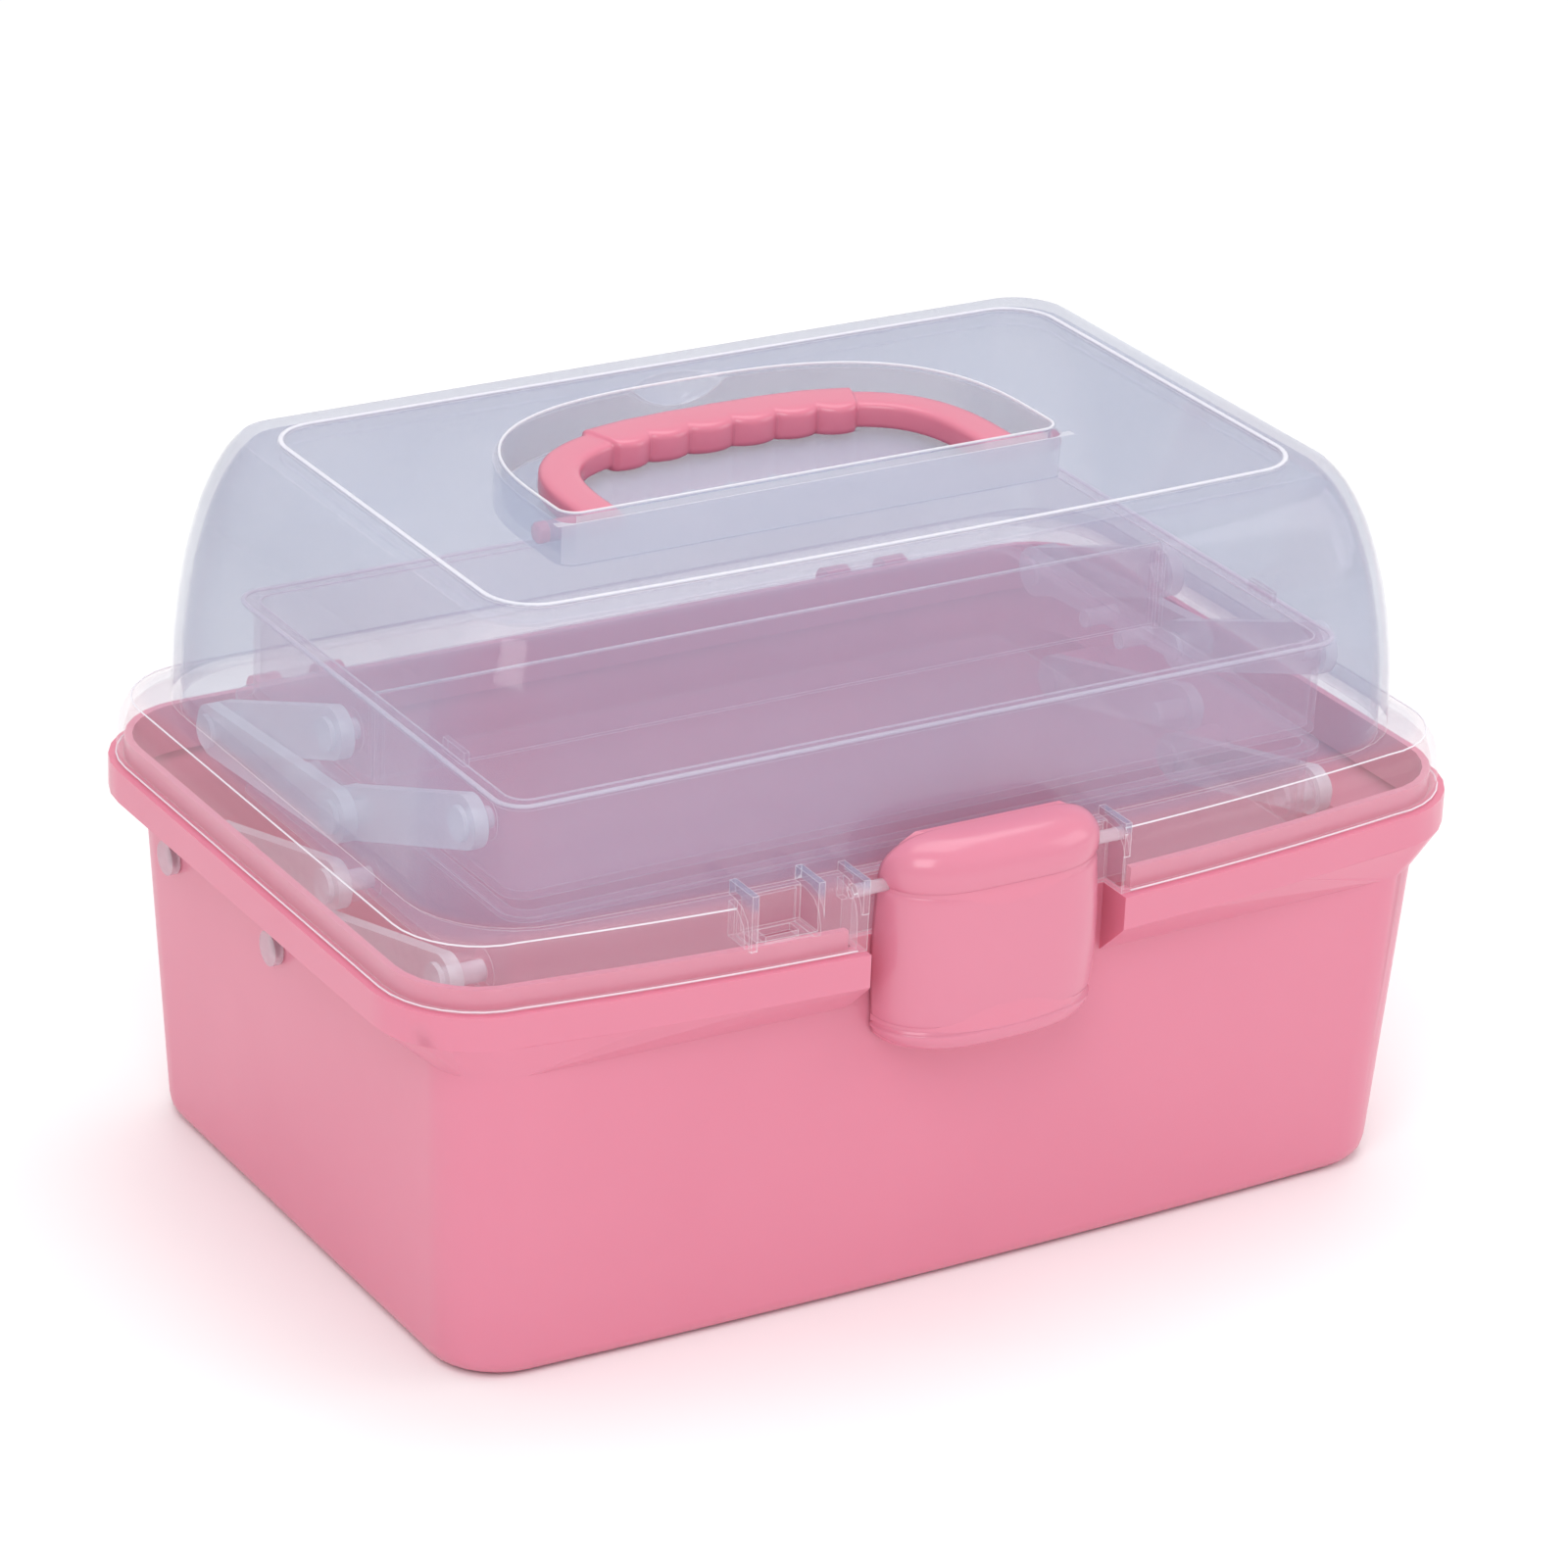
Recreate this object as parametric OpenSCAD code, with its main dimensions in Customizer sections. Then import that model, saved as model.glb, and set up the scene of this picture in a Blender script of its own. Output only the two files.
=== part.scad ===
// Makeup storage case: a moulded tub, a clear domed lid with a fold-down handle and a
// front latch, and two trays that rise on parallel arms as the lid opens.
// Millimetres. X is the long side, -Y is the front, +Z is up, origin under the tub's middle.

/* [Tub] */
// Half the tub's length at the floor
tub_half_l = 150; // [140:1:160]
// Depth from the middle to the tub's front face at the floor
tub_front = 97; // [92:1:102]
// Depth from the middle to the tub's back face at the floor
tub_back = 97; // [92:1:102]
// Height at which the tub's wall starts to flare out to the rim
tub_wall_h = 93; // [91.5:0.5:96]
// How far the walls lean outward between the floor and the flare
tub_draft = 4.6; // [2:0.2:6]
// Rounding of the tub's upright corners
tub_corner_r = 19; // [14:1:26]
// Rounding of the edge around the floor
tub_edge_r = 6; // [3:0.5:9]
// Outward bow of the long front wall
tub_bow = 2.2; // [1:0.1:2.4]
// Wall thickness of the tub
tub_wall = 2.2; // [1.6:0.1:3]

/* [Rim] */
// Half the rim's length at its lower band
rim_half_l = 167.3; // [164:0.1:172]
// Depth from the middle to the rim's front corners
rim_front = 105.5; // [103:0.5:110]
// Depth from the middle to the rim's back edge
rim_back = 108; // [105:0.5:112]
// Height of the rim's lower edge
rim_low_z = 103.5; // [101:0.5:107]
// Height of the step that the lid's skirt sits on
rim_step_z = 113; // [110:0.5:116]
// Height of the rim's inner lip, inside the lid's skirt
rim_lip_z = 119; // [116:0.5:122]
// Rounding of the rim's corners
rim_corner_r = 30; // [24:1:36]
// Outward bow of the rim and skirt at the front
rim_bow = 10; // [4:0.5:14]

/* [Lid] */
// How far the lid's skirt stands inside the rim's outer band
skirt_step = 2.3; // [1:0.1:4]
// Height where the skirt turns inward to the ledge
skirt_top_z = 123.5; // [120:0.5:127]
// Height of the ledge around the dome
ledge_z = 131.5; // [128:0.5:136]
// Half the dome's length at the ledge
dome_half_l = 153; // [150:0.5:155]
// Depth from the middle to the dome's front corners at the ledge
dome_front = 96; // [93:0.5:99]
// Depth from the middle to the dome's back at the ledge
dome_back = 98; // [94:0.5:100]
// Outward bow of the dome's front wall
dome_bow = 4; // [0:0.5:8]
// Rounding of the dome's corners at the ledge
dome_corner_r = 30; // [22:1:36]
// Height of the top panel
panel_z = 207; // [204:0.2:214]
// How far the dome's ends lean in between ledge and panel
dome_in_x = 20; // [16:0.5:24]
// How far the dome's front leans in between ledge and panel
dome_in_front = 20.5; // [16:0.5:25]
// How far the dome's back leans in between ledge and panel
dome_in_back = 13.5; // [10:0.5:18]
// How far the dome's section is rounded: 0 is a straight slope, near 1 a full quarter turn
dome_roundness = 0.97; // [0.6:0.01:0.98]
// Width of the shoulder between the dome's walls and the bead
shoulder_w = 8; // [5:0.5:10]
// Wall thickness of the lid
lid_wall = 2; // [1.4:0.1:2.6]
// Width of the raised bead around the top panel
bead_w = 1.5; // [1:0.1:3]
// Height of the raised bead around the top panel
bead_h = 0.8; // [0.4:0.1:1.5]

/* [Handle well] */
// Half the well's length
well_half_l = 78; // [76:0.5:82]
// Depth from the middle to the well's straight front wall
well_front = 13; // [12:0.5:16]
// Depth from the middle to the well's curved back
well_back = 63; // [61:0.5:66]
// Depth of the well below the top panel
well_deep = 12.6; // [11.5:0.1:16]
// Half the width of the finger scoop at the well's back edge
scoop_half_w = 15.5; // [10:0.5:20]
// How far the finger scoop reaches behind the well's back edge
scoop_reach = 7.5; // [4:0.5:9]
// Depth of the finger scoop at the well's back wall
scoop_deep = 7; // [4:0.5:9]

/* [Handle] */
// Half the handle's length over its legs
handle_half_l = 71; // [68:0.5:72]
// Distance from the pivots to the outside of the grip
handle_reach = 57; // [52:0.5:58]
// Width of the legs
leg_w = 12; // [9:0.5:14]
// Width of the grip
grip_w = 15; // [12:0.5:17]
// Half the length of the thick grip
grip_half_l = 44; // [36:1:50]
// Thickness of the handle
handle_t = 9.6; // [8:0.2:10]
// Depth from the middle to the handle's pivots
handle_pivot_y = -5; // [-6:0.5:-4]
// Radius of the pivot pins on the handle's legs
trunnion_r = 3; // [2:0.1:3.6]
// How far the pivot pins show past the well's side walls
trunnion_out = 3; // [1:0.5:5]

/* [Latch] */
// Half the latch's width
latch_half_w = 33; // [30:0.5:35]
// Lower edge of the latch
latch_low_z = 82; // [80:0.5:88]
// Top of the latch
latch_top_z = 141.5; // [138:0.5:143]
// How far the latch bulges forward from its back edge
latch_bulge = 18.5; // [15:0.5:21]
// Wall thickness of the latch
latch_wall = 2.4; // [1.8:0.1:3]
// Reach of the catch out of the tub's wall
catch_reach = 1.8; // [1:0.1:2.4]
// Gap between the catch and the tip of the latch's hook
catch_gap = 0.4; // [0.3:0.1:0.8]
// Depth of the relief on the latch's back above its pin
latch_relief = 1.3; // [1.2:0.1:1.6]
// Height of the latch's hinge pin
latch_pin_z = 129; // [127:0.5:130]
// Radius of the latch's hinge pin
latch_pin_r = 1.8; // [1.4:0.1:2]
// Half the width of the cut-out that holds the latch
notch_half_w = 40; // [38:0.5:43]
// Depth from the middle to the back wall of the cut-out
notch_y = 103.6; // [103.4:0.1:104.4]

/* [Hasp] */
// Distance from the middle to the padlock bracket's centre
hasp_x = 64; // [58:0.5:72]
// Clear width inside the padlock bracket
hasp_w = 18; // [14:0.5:22]
// Length of the slot in the padlock bracket's plate
hasp_slot_l = 10; // [8:0.5:12]
// Width of the slot in the padlock bracket's plate
hasp_slot_w = 4.6; // [4.4:0.1:6]

/* [Trays] */
// Half the upper tray's length over its rim
upper_half_l = 131; // [129:0.1:131]
// Depth from the middle to the upper tray's front rim
upper_front = 81; // [78:0.5:84]
// Depth from the middle to the upper tray's back rim
upper_back = 80; // [76:0.5:81]
// Height of the upper tray's underside
upper_low_z = 131; // [131:0.2:132]
// Height of the upper tray
upper_h = 28; // [26:0.5:28]
// Half the lower tray's length over its rim
lower_half_l = 129.5; // [127:0.1:129.5]
// Depth from the middle to the lower tray's front rim
lower_front = 81; // [78:0.5:84]
// Depth from the middle to the lower tray's back rim
lower_back = 88; // [84:0.5:89]
// Height of the lower tray's underside
lower_low_z = 98; // [97:0.5:100]
// Height of the lower tray
lower_h = 29; // [26:0.5:29.5]
// Wall thickness of both trays
tray_wall = 1.6; // [1.2:0.1:2]
// Width of the flat rim around the trays
tray_lip = 4; // [3:0.1:5]
// Rounding of the trays' corners
tray_corner_r = 8; // [6:0.5:12]
// Depth from the middle to the divider in the upper tray, to the back
divider_y = 3; // [-4:1:12]
// Thickness of the divider
divider_t = 1.6; // [1.2:0.1:2]
// Half the length of the thumb tab on the tray's end rims
tab_half_l = 6; // [4:0.5:8]
// Distance from the middle to the thumb tabs, to the front
tab_y = 46; // [40:1:52]

/* [Arms] */
// Depth from the middle to the tub's front pivot
case_pivot_y = 5; // [2:0.5:8]
// Spacing of the two pivots on the tub
case_pivot_gap = 64.5; // [60:0.5:68]
// Height of the pivots on the tub
case_pivot_z = 88; // [86:0.5:88]
// Distance forward from a tub pivot to its lower tray pivot, at rest
lower_arm_run = 67; // [62:0.5:70]
// Rise from a tub pivot to its lower tray pivot, at rest
lower_arm_rise = 16.5; // [16:0.5:17]
// Depth from the middle to the side bar's front pivot
bar_pivot_y = 0; // [-2:0.5:2]
// Spacing of the two pivots on a side bar
bar_pivot_gap = 76; // [73:0.5:76]
// Height of the pivots on the side bars
bar_pivot_z = 126; // [125:0.5:126]
// Drop from the bar's front pivot to its rear pivot
bar_drop = 5; // [4.5:0.5:6]
// Distance forward from a bar pivot to its upper tray pivot, at rest
upper_arm_run = 65; // [62:0.5:67]
// Rise from a bar pivot to its upper tray pivot, at rest
upper_arm_rise = 24; // [22:0.5:24]
// Half the width of the upper arms
upper_arm_r = 7.5; // [6.5:0.1:7.5]
// Half the width of the lower arms
lower_arm_r = 7; // [6:0.5:7.5]
// Thickness of all the arms
arm_t = 4; // [3:0.1:4]
// Half the width of the side bars
bar_r = 7.5; // [7:0.1:7.5]
// Thickness of the side bars
bar_t = 4; // [3:0.1:4]

/* [Pins] */
// Radius of the pins that the arms turn on
pin_r = 3; // [2.4:0.1:3.4]
// Radius of the large round pin heads outside the tub
case_head_r = 5; // [4.4:0.1:5]
// Radius of the pin heads on the arms
arm_head_r = 4.8; // [4.2:0.1:5]
// Thickness of the pin heads on the arms
arm_head_t = 1.5; // [1:0.1:1.6]

/* [Lid hinge] */
// Distance from the middle to each hinge
hinge_x = 95; // [80:1:110]
// Depth from the middle to the hinge axis
hinge_y = 112.4; // [112.4:0.1:116]
// Radius of the hinge knuckles
knuckle_r = 4.5; // [4:0.1:5]
// Length of the lid's knuckle
knuckle_l = 11; // [8:0.5:16]
// Length of each of the tub's two knuckles beside it
outer_knuckle_l = 8; // [5:0.5:12]
// Radius of the hinge pins
hinge_pin_r = 2; // [1.5:0.1:2.4]

/* [Fit] */
// Running clearance around a pin
run_gap = 0.08; // [0.04:0.01:0.1]
// Clearance around a pin where a closed linkage is left open
open_gap = 0.25; // [0.1:0.05:0.4]
// Gap between faces that move past each other
face_gap = 0.5; // [0.3:0.05:0.6]
// Gap between parts that seat on each other
seat_gap = 0.25; // [0.15:0.05:0.3]

/* [Hidden] */
$fn = 40;

slice_t = 0.01;
link_waist = 0.1;
cut = 1;
corner_steps = 7;
quarter = 90;
keeper_rise = 12;
crown_in = 10;
crown_back = 13;
bow_steps = 8;
pink = "#ea8aa0";
clear = "#cfdde6a0";
frosted = "#e6ebefd0";

// Top of the lid's skirt, its outline and the dome's
skirt_half_l = rim_half_l - skirt_step;
skirt_front = rim_front - skirt_step;
skirt_back = rim_back - skirt_step;
skirt_low_z = rim_step_z + seat_gap;
skirt_corner_r = rim_corner_r - skirt_step;
lip_in = skirt_step + lid_wall + seat_gap;
well_floor_z = panel_z - well_deep;
handle_z = well_floor_z + 0.5 + handle_t / 2;
latch_y = notch_y + 0.7;
latch_pin_y = latch_y + 3.2;
hinge_z = rim_step_z;

// Places along X of the layers outside the trays
upper_arm_x = upper_half_l + 1;
bar_x = upper_arm_x + arm_t + face_gap;
// Half the length of one hinge, a little more so that its bore runs clean through
hinge_half = knuckle_l / 2 + face_gap + outer_knuckle_l + cut;
lower_arm_x = bar_x;
boss_x = lower_arm_x + arm_t + face_gap;
case_pivot_half_l = tub_half_l + tub_draft * case_pivot_z / tub_wall_h;

// Pivots seen from the side, as [y, z], front then rear
case_pivots = [for (i = [0, 1]) [case_pivot_y + i * case_pivot_gap, case_pivot_z]];
lower_tray_pivots = [for (p = case_pivots) p + [-lower_arm_run, lower_arm_rise]];
bar_pivots = [for (i = [0, 1])
    [bar_pivot_y + i * bar_pivot_gap, bar_pivot_z - i * bar_drop]];
upper_tray_pivots = [for (p = bar_pivots) p + [-upper_arm_run, upper_arm_rise]];

// Outline of a box seen from above: rounded corners and a front side that bows outward
function arc(cx, cy, r, from) =
    [for (i = [0:corner_steps]) let (a = from + quarter * i / corner_steps)
        [cx + r * cos(a), cy + r * sin(a)]];
function front_line(half_l, front, bow, r) =
    [for (i = [1:bow_steps - 1]) let (x = (half_l - r) * (2 * i / bow_steps - 1))
        [x, -front - bow * (1 - pow(x / (half_l - r), 2))]];
function outline(half_l, front, back, bow, r) = concat(
    front_line(half_l, front, bow, r),
    arc(half_l - r, -front + r, r, 270),
    arc(half_l - r, back - r, r, 0),
    arc(-half_l + r, back - r, r, 90),
    arc(-half_l + r, -front + r, r, 180));

module slice(z, half_l, front, back, bow, r, h = slice_t) {
    translate([0, 0, z]) linear_extrude(h) polygon(outline(half_l, front, back, bow, r));
}

// A round bar along X from x0 to x1 at [y, z]
module rod(x0, x1, at, r) {
    translate([x0, at[0], at[1]]) rotate([0, 90, 0]) cylinder(h = x1 - x0, r = r);
}

// A box from one corner to the other
module block(low, high) {
    translate(low) cube(high - low);
}

// What is drawn on the right side, placed on the left or right
module on_side(left) {
    if (left) mirror([1, 0, 0]) children();
    else children();
}

// ---- Tub ----

// The tub's body between floor and flare, taken in by a wall thickness
module tub_block(in, floor_z) {
    lean = tub_draft - in;
    edge = max(tub_edge_r - in, 2);
    corner = tub_corner_r - in / 2;
    hull() {
        for (a = [0:22.5:90]) {
            pull = in + edge * (1 - sin(a));
            slice(floor_z + edge * (1 - cos(a)), tub_half_l - pull, tub_front - pull,
                tub_back - pull, tub_bow, corner);
        }
        slice(tub_wall_h, tub_half_l + lean, tub_front + lean, tub_back + lean, tub_bow, corner);
    }
}

// The flare from the wall out to the rim, taken in by a wall thickness
module rim_block(in) {
    lean = tub_draft - in;
    hull() {
        slice(tub_wall_h - slice_t, tub_half_l + lean, tub_front + lean, tub_back + lean,
            tub_bow, tub_corner_r - in / 2);
        slice(rim_low_z + in / 2, rim_half_l - in, rim_front - in, rim_back - in, rim_bow,
            rim_corner_r - in);
    }
}

module rim_ring(in, low, high) {
    slice(low, rim_half_l - in, rim_front - in, rim_back - in, rim_bow, rim_corner_r - in,
        high - low);
}

// The cut-out that holds the latch; grown by a wall it gives the walls around it
module notch(grow, low, high) {
    block([-notch_half_w - grow, -rim_front - rim_bow - cut, low],
        [notch_half_w + grow, -notch_y + grow, high]);
}

module hinge_knuckles(grow, inner) {
    for (s = [-1, 1]) {
        if (inner)
            rod(s * hinge_x - knuckle_l / 2 - grow, s * hinge_x + knuckle_l / 2 + grow,
                [hinge_y, hinge_z], knuckle_r + grow);
        else for (e = [-1, 1]) translate([s * hinge_x, 0, 0]) scale([e, 1, 1])
            rod(knuckle_l / 2 + face_gap, knuckle_l / 2 + face_gap + outer_knuckle_l,
                [hinge_y, hinge_z], knuckle_r);
    }
}

module case_body() {
    web_y = rim_back - tub_wall;
    keeper_z = latch_low_z + keeper_rise;
    color(pink) difference() {
        union() {
            difference() {
                union() {
                    tub_block(0, 0);
                    rim_block(0);
                    rim_ring(0, rim_low_z, rim_step_z);
                    rim_ring(lip_in, rim_step_z - cut, rim_lip_z);
                }
                difference() {
                    union() {
                        tub_block(tub_wall, tub_wall);
                        rim_block(tub_wall);
                        rim_ring(tub_wall + lip_in, rim_low_z + tub_wall / 2 - 0.2, rim_lip_z + cut);
                    }
                    notch(tub_wall, tub_wall_h - 4, rim_step_z);
                }
                notch(0, tub_wall_h, rim_lip_z + cut);
                notch(tub_wall + lid_wall + seat_gap, rim_step_z, rim_lip_z + cut);
            }
            // Bosses behind the arms' pivots
            for (s = [0, 1], p = case_pivots)
                on_side(s == 0) rod(boss_x, case_pivot_half_l - tub_wall / 2, p, lower_arm_r);
            // Catch that the latch hooks under
            block([-12, -notch_y - catch_reach, keeper_z],
                [12, -notch_y + tub_wall / 2, keeper_z + 2.4]);
            // Hinge knuckles and their webs on the back of the rim
            hinge_knuckles(0, false);
            for (s = [-1, 1], e = [-1, 1])
                translate([s * hinge_x, 0, 0]) scale([e, 1, 1])
                    block([knuckle_l / 2 + face_gap, web_y, rim_low_z + 1],
                        [knuckle_l / 2 + face_gap + outer_knuckle_l, hinge_y, hinge_z]);
        }
        for (s = [0, 1], p = case_pivots)
            on_side(s == 0) rod(boss_x - cut, case_pivot_half_l + 4, p, pin_r + run_gap);
        hinge_knuckles(face_gap, true);
        for (s = [-1, 1])
            rod(s * hinge_x - hinge_half, s * hinge_x + hinge_half, [hinge_y, hinge_z],
                hinge_pin_r + run_gap);
    }
}

// ---- Lid ----

// Share of the dome's lean that is reached at a share u of its height
function dome_share(u) =
    (1 - sqrt(1 - pow(u * dome_roundness, 2))) / (1 - sqrt(1 - pow(dome_roundness, 2)));

module skirt_block(in) {
    hull() {
        slice(skirt_low_z - (in > 0 ? cut : 0), skirt_half_l - in, skirt_front - in,
            skirt_back - in, rim_bow, skirt_corner_r - in);
        for (a = [0:30:90]) {
            turn = ledge_z - skirt_top_z;
            pull = in + turn * (1 - cos(a));
            slice(skirt_top_z + turn * sin(a) - in, skirt_half_l - pull, skirt_front - pull,
                skirt_back - pull, rim_bow, skirt_corner_r - pull * 0.8);
        }
    }
}

module dome_block(in) {
    low = ledge_z - 6;
    high = panel_z - in;
    hull() {
        slice(low, dome_half_l - in, dome_front - in, dome_back - in, dome_bow, dome_corner_r);
        for (u = [0.25, 0.42, 0.56, 0.68, 0.78, 0.87, 0.94, 0.98, 1]) {
            share = dome_share(u);
            slice(ledge_z + (high - ledge_z) * u - (u == 1 ? slice_t : 0),
                dome_half_l - in - dome_in_x * share,
                dome_front - in - dome_in_front * share,
                dome_back - in - dome_in_back * share,
                dome_bow * (1 - 0.55 * share), dome_corner_r * (1 - 0.5 * share));
        }
    }
}

module panel_ring(in, low, high) {
    pull = shoulder_w + in;
    slice(low, dome_half_l - dome_in_x - pull, dome_front - dome_in_front - pull,
        dome_back - dome_in_back - pull, dome_bow * 0.45, dome_corner_r / 2 - in, high - low);
}

// The handle's well: straight in front, a flattened arch at the back
function well_outline(grow) = concat(
    [for (a = [0:6:180]) let (p = 2 / 2.8)
        [(well_half_l + grow) * sign(cos(a)) * pow(abs(cos(a)), p),
            (well_back + grow) * pow(sin(a), p)]],
    [for (a = [180:15:270]) [-(well_half_l + grow - 5) + 5 * cos(a),
        -(well_front + grow - 5) + 5 * sin(a)]],
    [for (a = [270:15:360]) [(well_half_l + grow - 5) + 5 * cos(a),
        -(well_front + grow - 5) + 5 * sin(a)]]);

module well(grow, low, high) {
    translate([0, 0, low]) linear_extrude(high - low) polygon(well_outline(grow));
}

// The ball that scoops the well's back edge, from the scoop's width, reach and depth
scoop_rim_r = (pow(scoop_half_w, 2) + pow(scoop_reach, 2)) / (2 * scoop_reach);
scoop_y = well_back + scoop_reach - scoop_rim_r;
scoop_half_chord = well_back - scoop_y;
scoop_up = (pow(scoop_rim_r, 2) - pow(scoop_half_chord, 2) - pow(scoop_deep, 2))
    / (2 * scoop_deep);
module scoop(grow) {
    translate([0, scoop_y, panel_z + scoop_up])
        sphere(r = norm([scoop_rim_r, scoop_up]) + grow, $fn = 48);
}

// Depth of the skirt's bowed front face at a place along it
function skirt_front_at(x) =
    skirt_front + rim_bow * (1 - pow(x / (skirt_half_l - skirt_corner_r), 2));

// The padlock bracket beside the latch: two cheeks, a back plate and a slotted floor
hasp_floor_z = skirt_low_z + 6.5;
hasp_back = dome_front + 6;
module hasp_bracket() {
    front = skirt_front_at(hasp_x + hasp_w / 2) - 0.2;
    half = hasp_w / 2;
    translate([-hasp_x, 0, 0]) {
        for (s = [-1, 1]) translate([s * (half + lid_wall / 2), 0, 0])
            block([-lid_wall / 2, -front - 1, hasp_floor_z - 0.4],
                [lid_wall / 2, -hasp_back + 3, ledge_z + 4]);
        difference() {
            block([-half - 1, -front, hasp_floor_z], [half + 1, -hasp_back, hasp_floor_z + lid_wall]);
            translate([0, -(front + hasp_back) / 2, hasp_floor_z])
                cube([hasp_slot_l, hasp_slot_w, 4 * lid_wall], center = true);
        }
        block([-half - 1, -hasp_back, hasp_floor_z], [half + 1, -hasp_back + lid_wall, ledge_z - 0.5]);
    }
}

module hasp_room() {
    block([-hasp_x - hasp_w / 2, -rim_front - rim_bow, hasp_floor_z + lid_wall],
        [-hasp_x + hasp_w / 2, -hasp_back, ledge_z + cut]);
}

// The walls that close the lid around the latch's cut-out
module notch_walls() {
    intersection() {
        difference() {
            notch(lid_wall, skirt_low_z, ledge_z + cut);
            notch(0, skirt_low_z - cut, ledge_z + 2 * cut);
        }
        skirt_block(0);
    }
}

module lid_shell() {
    color(clear) difference() {
        union() {
            difference() {
                union() {
                    skirt_block(0);
                    dome_block(0);
                }
                skirt_block(lid_wall);
                dome_block(lid_wall);
                notch(0, skirt_low_z - cut, ledge_z + cut);
                hasp_room();
            }
            // The raised bead round the top panel
            difference() {
                panel_ring(0, panel_z - lid_wall / 3, panel_z + bead_h);
                panel_ring(bead_w, panel_z - lid_wall, panel_z + bead_h + cut);
            }
            well(lid_wall, well_floor_z - lid_wall, panel_z - lid_wall / 2);
            intersection() {
                scoop(lid_wall);
                well(scoop_reach + 2 * lid_wall, well_floor_z - lid_wall, panel_z - lid_wall / 2);
            }
            notch_walls();
            hasp_bracket();
            // Cheeks that carry the latch's pin
            for (s = [-1, 1]) translate([s * (notch_half_w + lid_wall / 2), 0, 0])
                block([-lid_wall / 2, -latch_pin_y - 5, latch_pin_z - 5],
                    [lid_wall / 2, -dome_front - 3, latch_pin_z + 5]);
            // Hinge knuckles and their arms on the back of the skirt
            hinge_knuckles(0, true);
            for (s = [-1, 1])
                block([s * hinge_x - knuckle_l / 2, skirt_back - lid_wall, skirt_low_z],
                    [s * hinge_x + knuckle_l / 2, hinge_y, hinge_z + knuckle_r]);
        }
        well(0, well_floor_z, panel_z + bead_h + cut);
        intersection() {
            scoop(0);
            block([-well_half_l, 0, well_floor_z], [well_half_l, dome_back, panel_z + well_deep]);
        }
        for (s = [0, 1]) on_side(s == 0) {
            rod(well_half_l - cut, well_half_l + lid_wall + cut, [handle_pivot_y, handle_z],
                trunnion_r + run_gap);
            rod(notch_half_w - cut, notch_half_w + lid_wall + cut, [-latch_pin_y, latch_pin_z],
                latch_pin_r + run_gap);
        }
        for (s = [-1, 1])
            rod(s * hinge_x - hinge_half, s * hinge_x + hinge_half, [hinge_y, hinge_z],
                hinge_pin_r + run_gap);
    }
}

module hinge_pin() {
    half = hinge_half - cut;
    color(frosted) rod(hinge_x - half, hinge_x + half, [hinge_y, hinge_z], hinge_pin_r);
}

// ---- Handle ----

// The bow seen from above: legs along Y that turn into the grip
function bow_line(in, in_back, steps = 30) =
    [for (i = [0:steps]) let (a = 180 * i / steps, p = 2 / 3)
        [(handle_half_l - in) * sign(cos(a)) * pow(abs(cos(a)), p),
            handle_pivot_y + (handle_reach - in_back) * pow(sin(a), p)]];

module handle() {
    leg_x = handle_half_l - leg_w;
    color(pink) translate([0, 0, handle_z - handle_t / 2]) {
        linear_extrude(handle_t) difference() {
            polygon(bow_line(0, 0));
            polygon(concat(bow_line(leg_w, leg_w),
                [[-leg_x, handle_pivot_y - cut], [leg_x, handle_pivot_y - cut]]));
        }
        // The grip is wider than the legs, toward its inner side
        linear_extrude(handle_t) intersection() {
            difference() {
                polygon(bow_line(0, 0));
                polygon(bow_line(grip_w, grip_w));
            }
            translate([-grip_half_l, 0]) square([2 * grip_half_l, well_back]);
        }
        // Round leg ends and the pivot pins
        for (s = [0, 1]) on_side(s == 0) {
            rod(leg_x, handle_half_l, [handle_pivot_y, handle_t / 2], handle_t / 2);
            rod(leg_x + cut, well_half_l + lid_wall + trunnion_out,
                [handle_pivot_y, handle_t / 2], trunnion_r);
        }
    }
}

// ---- Latch ----

// The latch seen from above at one height: flat back, arched front
function latch_outline(half_w, depth) = concat(
    [for (i = [0:24]) let (a = 180 * i / 24)
        [half_w * cos(a), -latch_y - depth * sqrt(1 - pow(abs(cos(a)), 3))]]);

module latch_slice(z, half_w, depth) {
    translate([0, 0, z]) linear_extrude(slice_t) polygon(latch_outline(half_w, depth));
}

module latch_block(in) {
    w = latch_half_w - in;
    d = latch_bulge - in;
    hull() {
        latch_slice(latch_low_z + in, w - 3, d - 4);
        latch_slice(latch_low_z + 2 + in, w - 1, d - 1.6);
        latch_slice(latch_low_z + 6, w, d - 0.6);
        latch_slice((latch_low_z + latch_pin_z) / 2, w + 0.2, d);
        latch_slice(latch_pin_z - 1, w, d - 0.6);
        latch_slice(latch_pin_z + 5, w - 2, d - 4);
        latch_slice(latch_top_z - 2.5 - in, w - 5.5, d - 9);
        latch_slice(latch_top_z - in, w - crown_in, d - crown_back);
    }
}

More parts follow.
